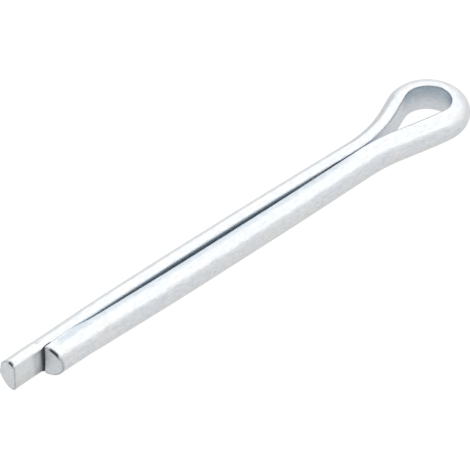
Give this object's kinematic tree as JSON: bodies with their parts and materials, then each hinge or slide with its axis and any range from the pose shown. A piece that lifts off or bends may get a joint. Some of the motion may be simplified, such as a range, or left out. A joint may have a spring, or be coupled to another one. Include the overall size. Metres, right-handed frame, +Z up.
{
  "type": "cotter pin",
  "caption": "Split cotter pin of half-round steel wire, folded to a lopsided teardrop eye, with one leg longer than the other.",
  "frame": {"origin": "middle of the pin's outline on the surface that it lies on", "axes": "+X along the legs towards the eye, +Y towards the long leg, +Z up, square to the plane of the eye"},
  "size_m": [0.0676, 0.0096, 0.0044],
  "materials": {
    "zinc_plated_steel": "bright zinc plate over drawn half-round wire, satin, with fine lengthwise streaks"
  },
  "bodies": {
    "root": {"cotter_pin": "zinc_plated_steel"}
  },
  "joints": []
}
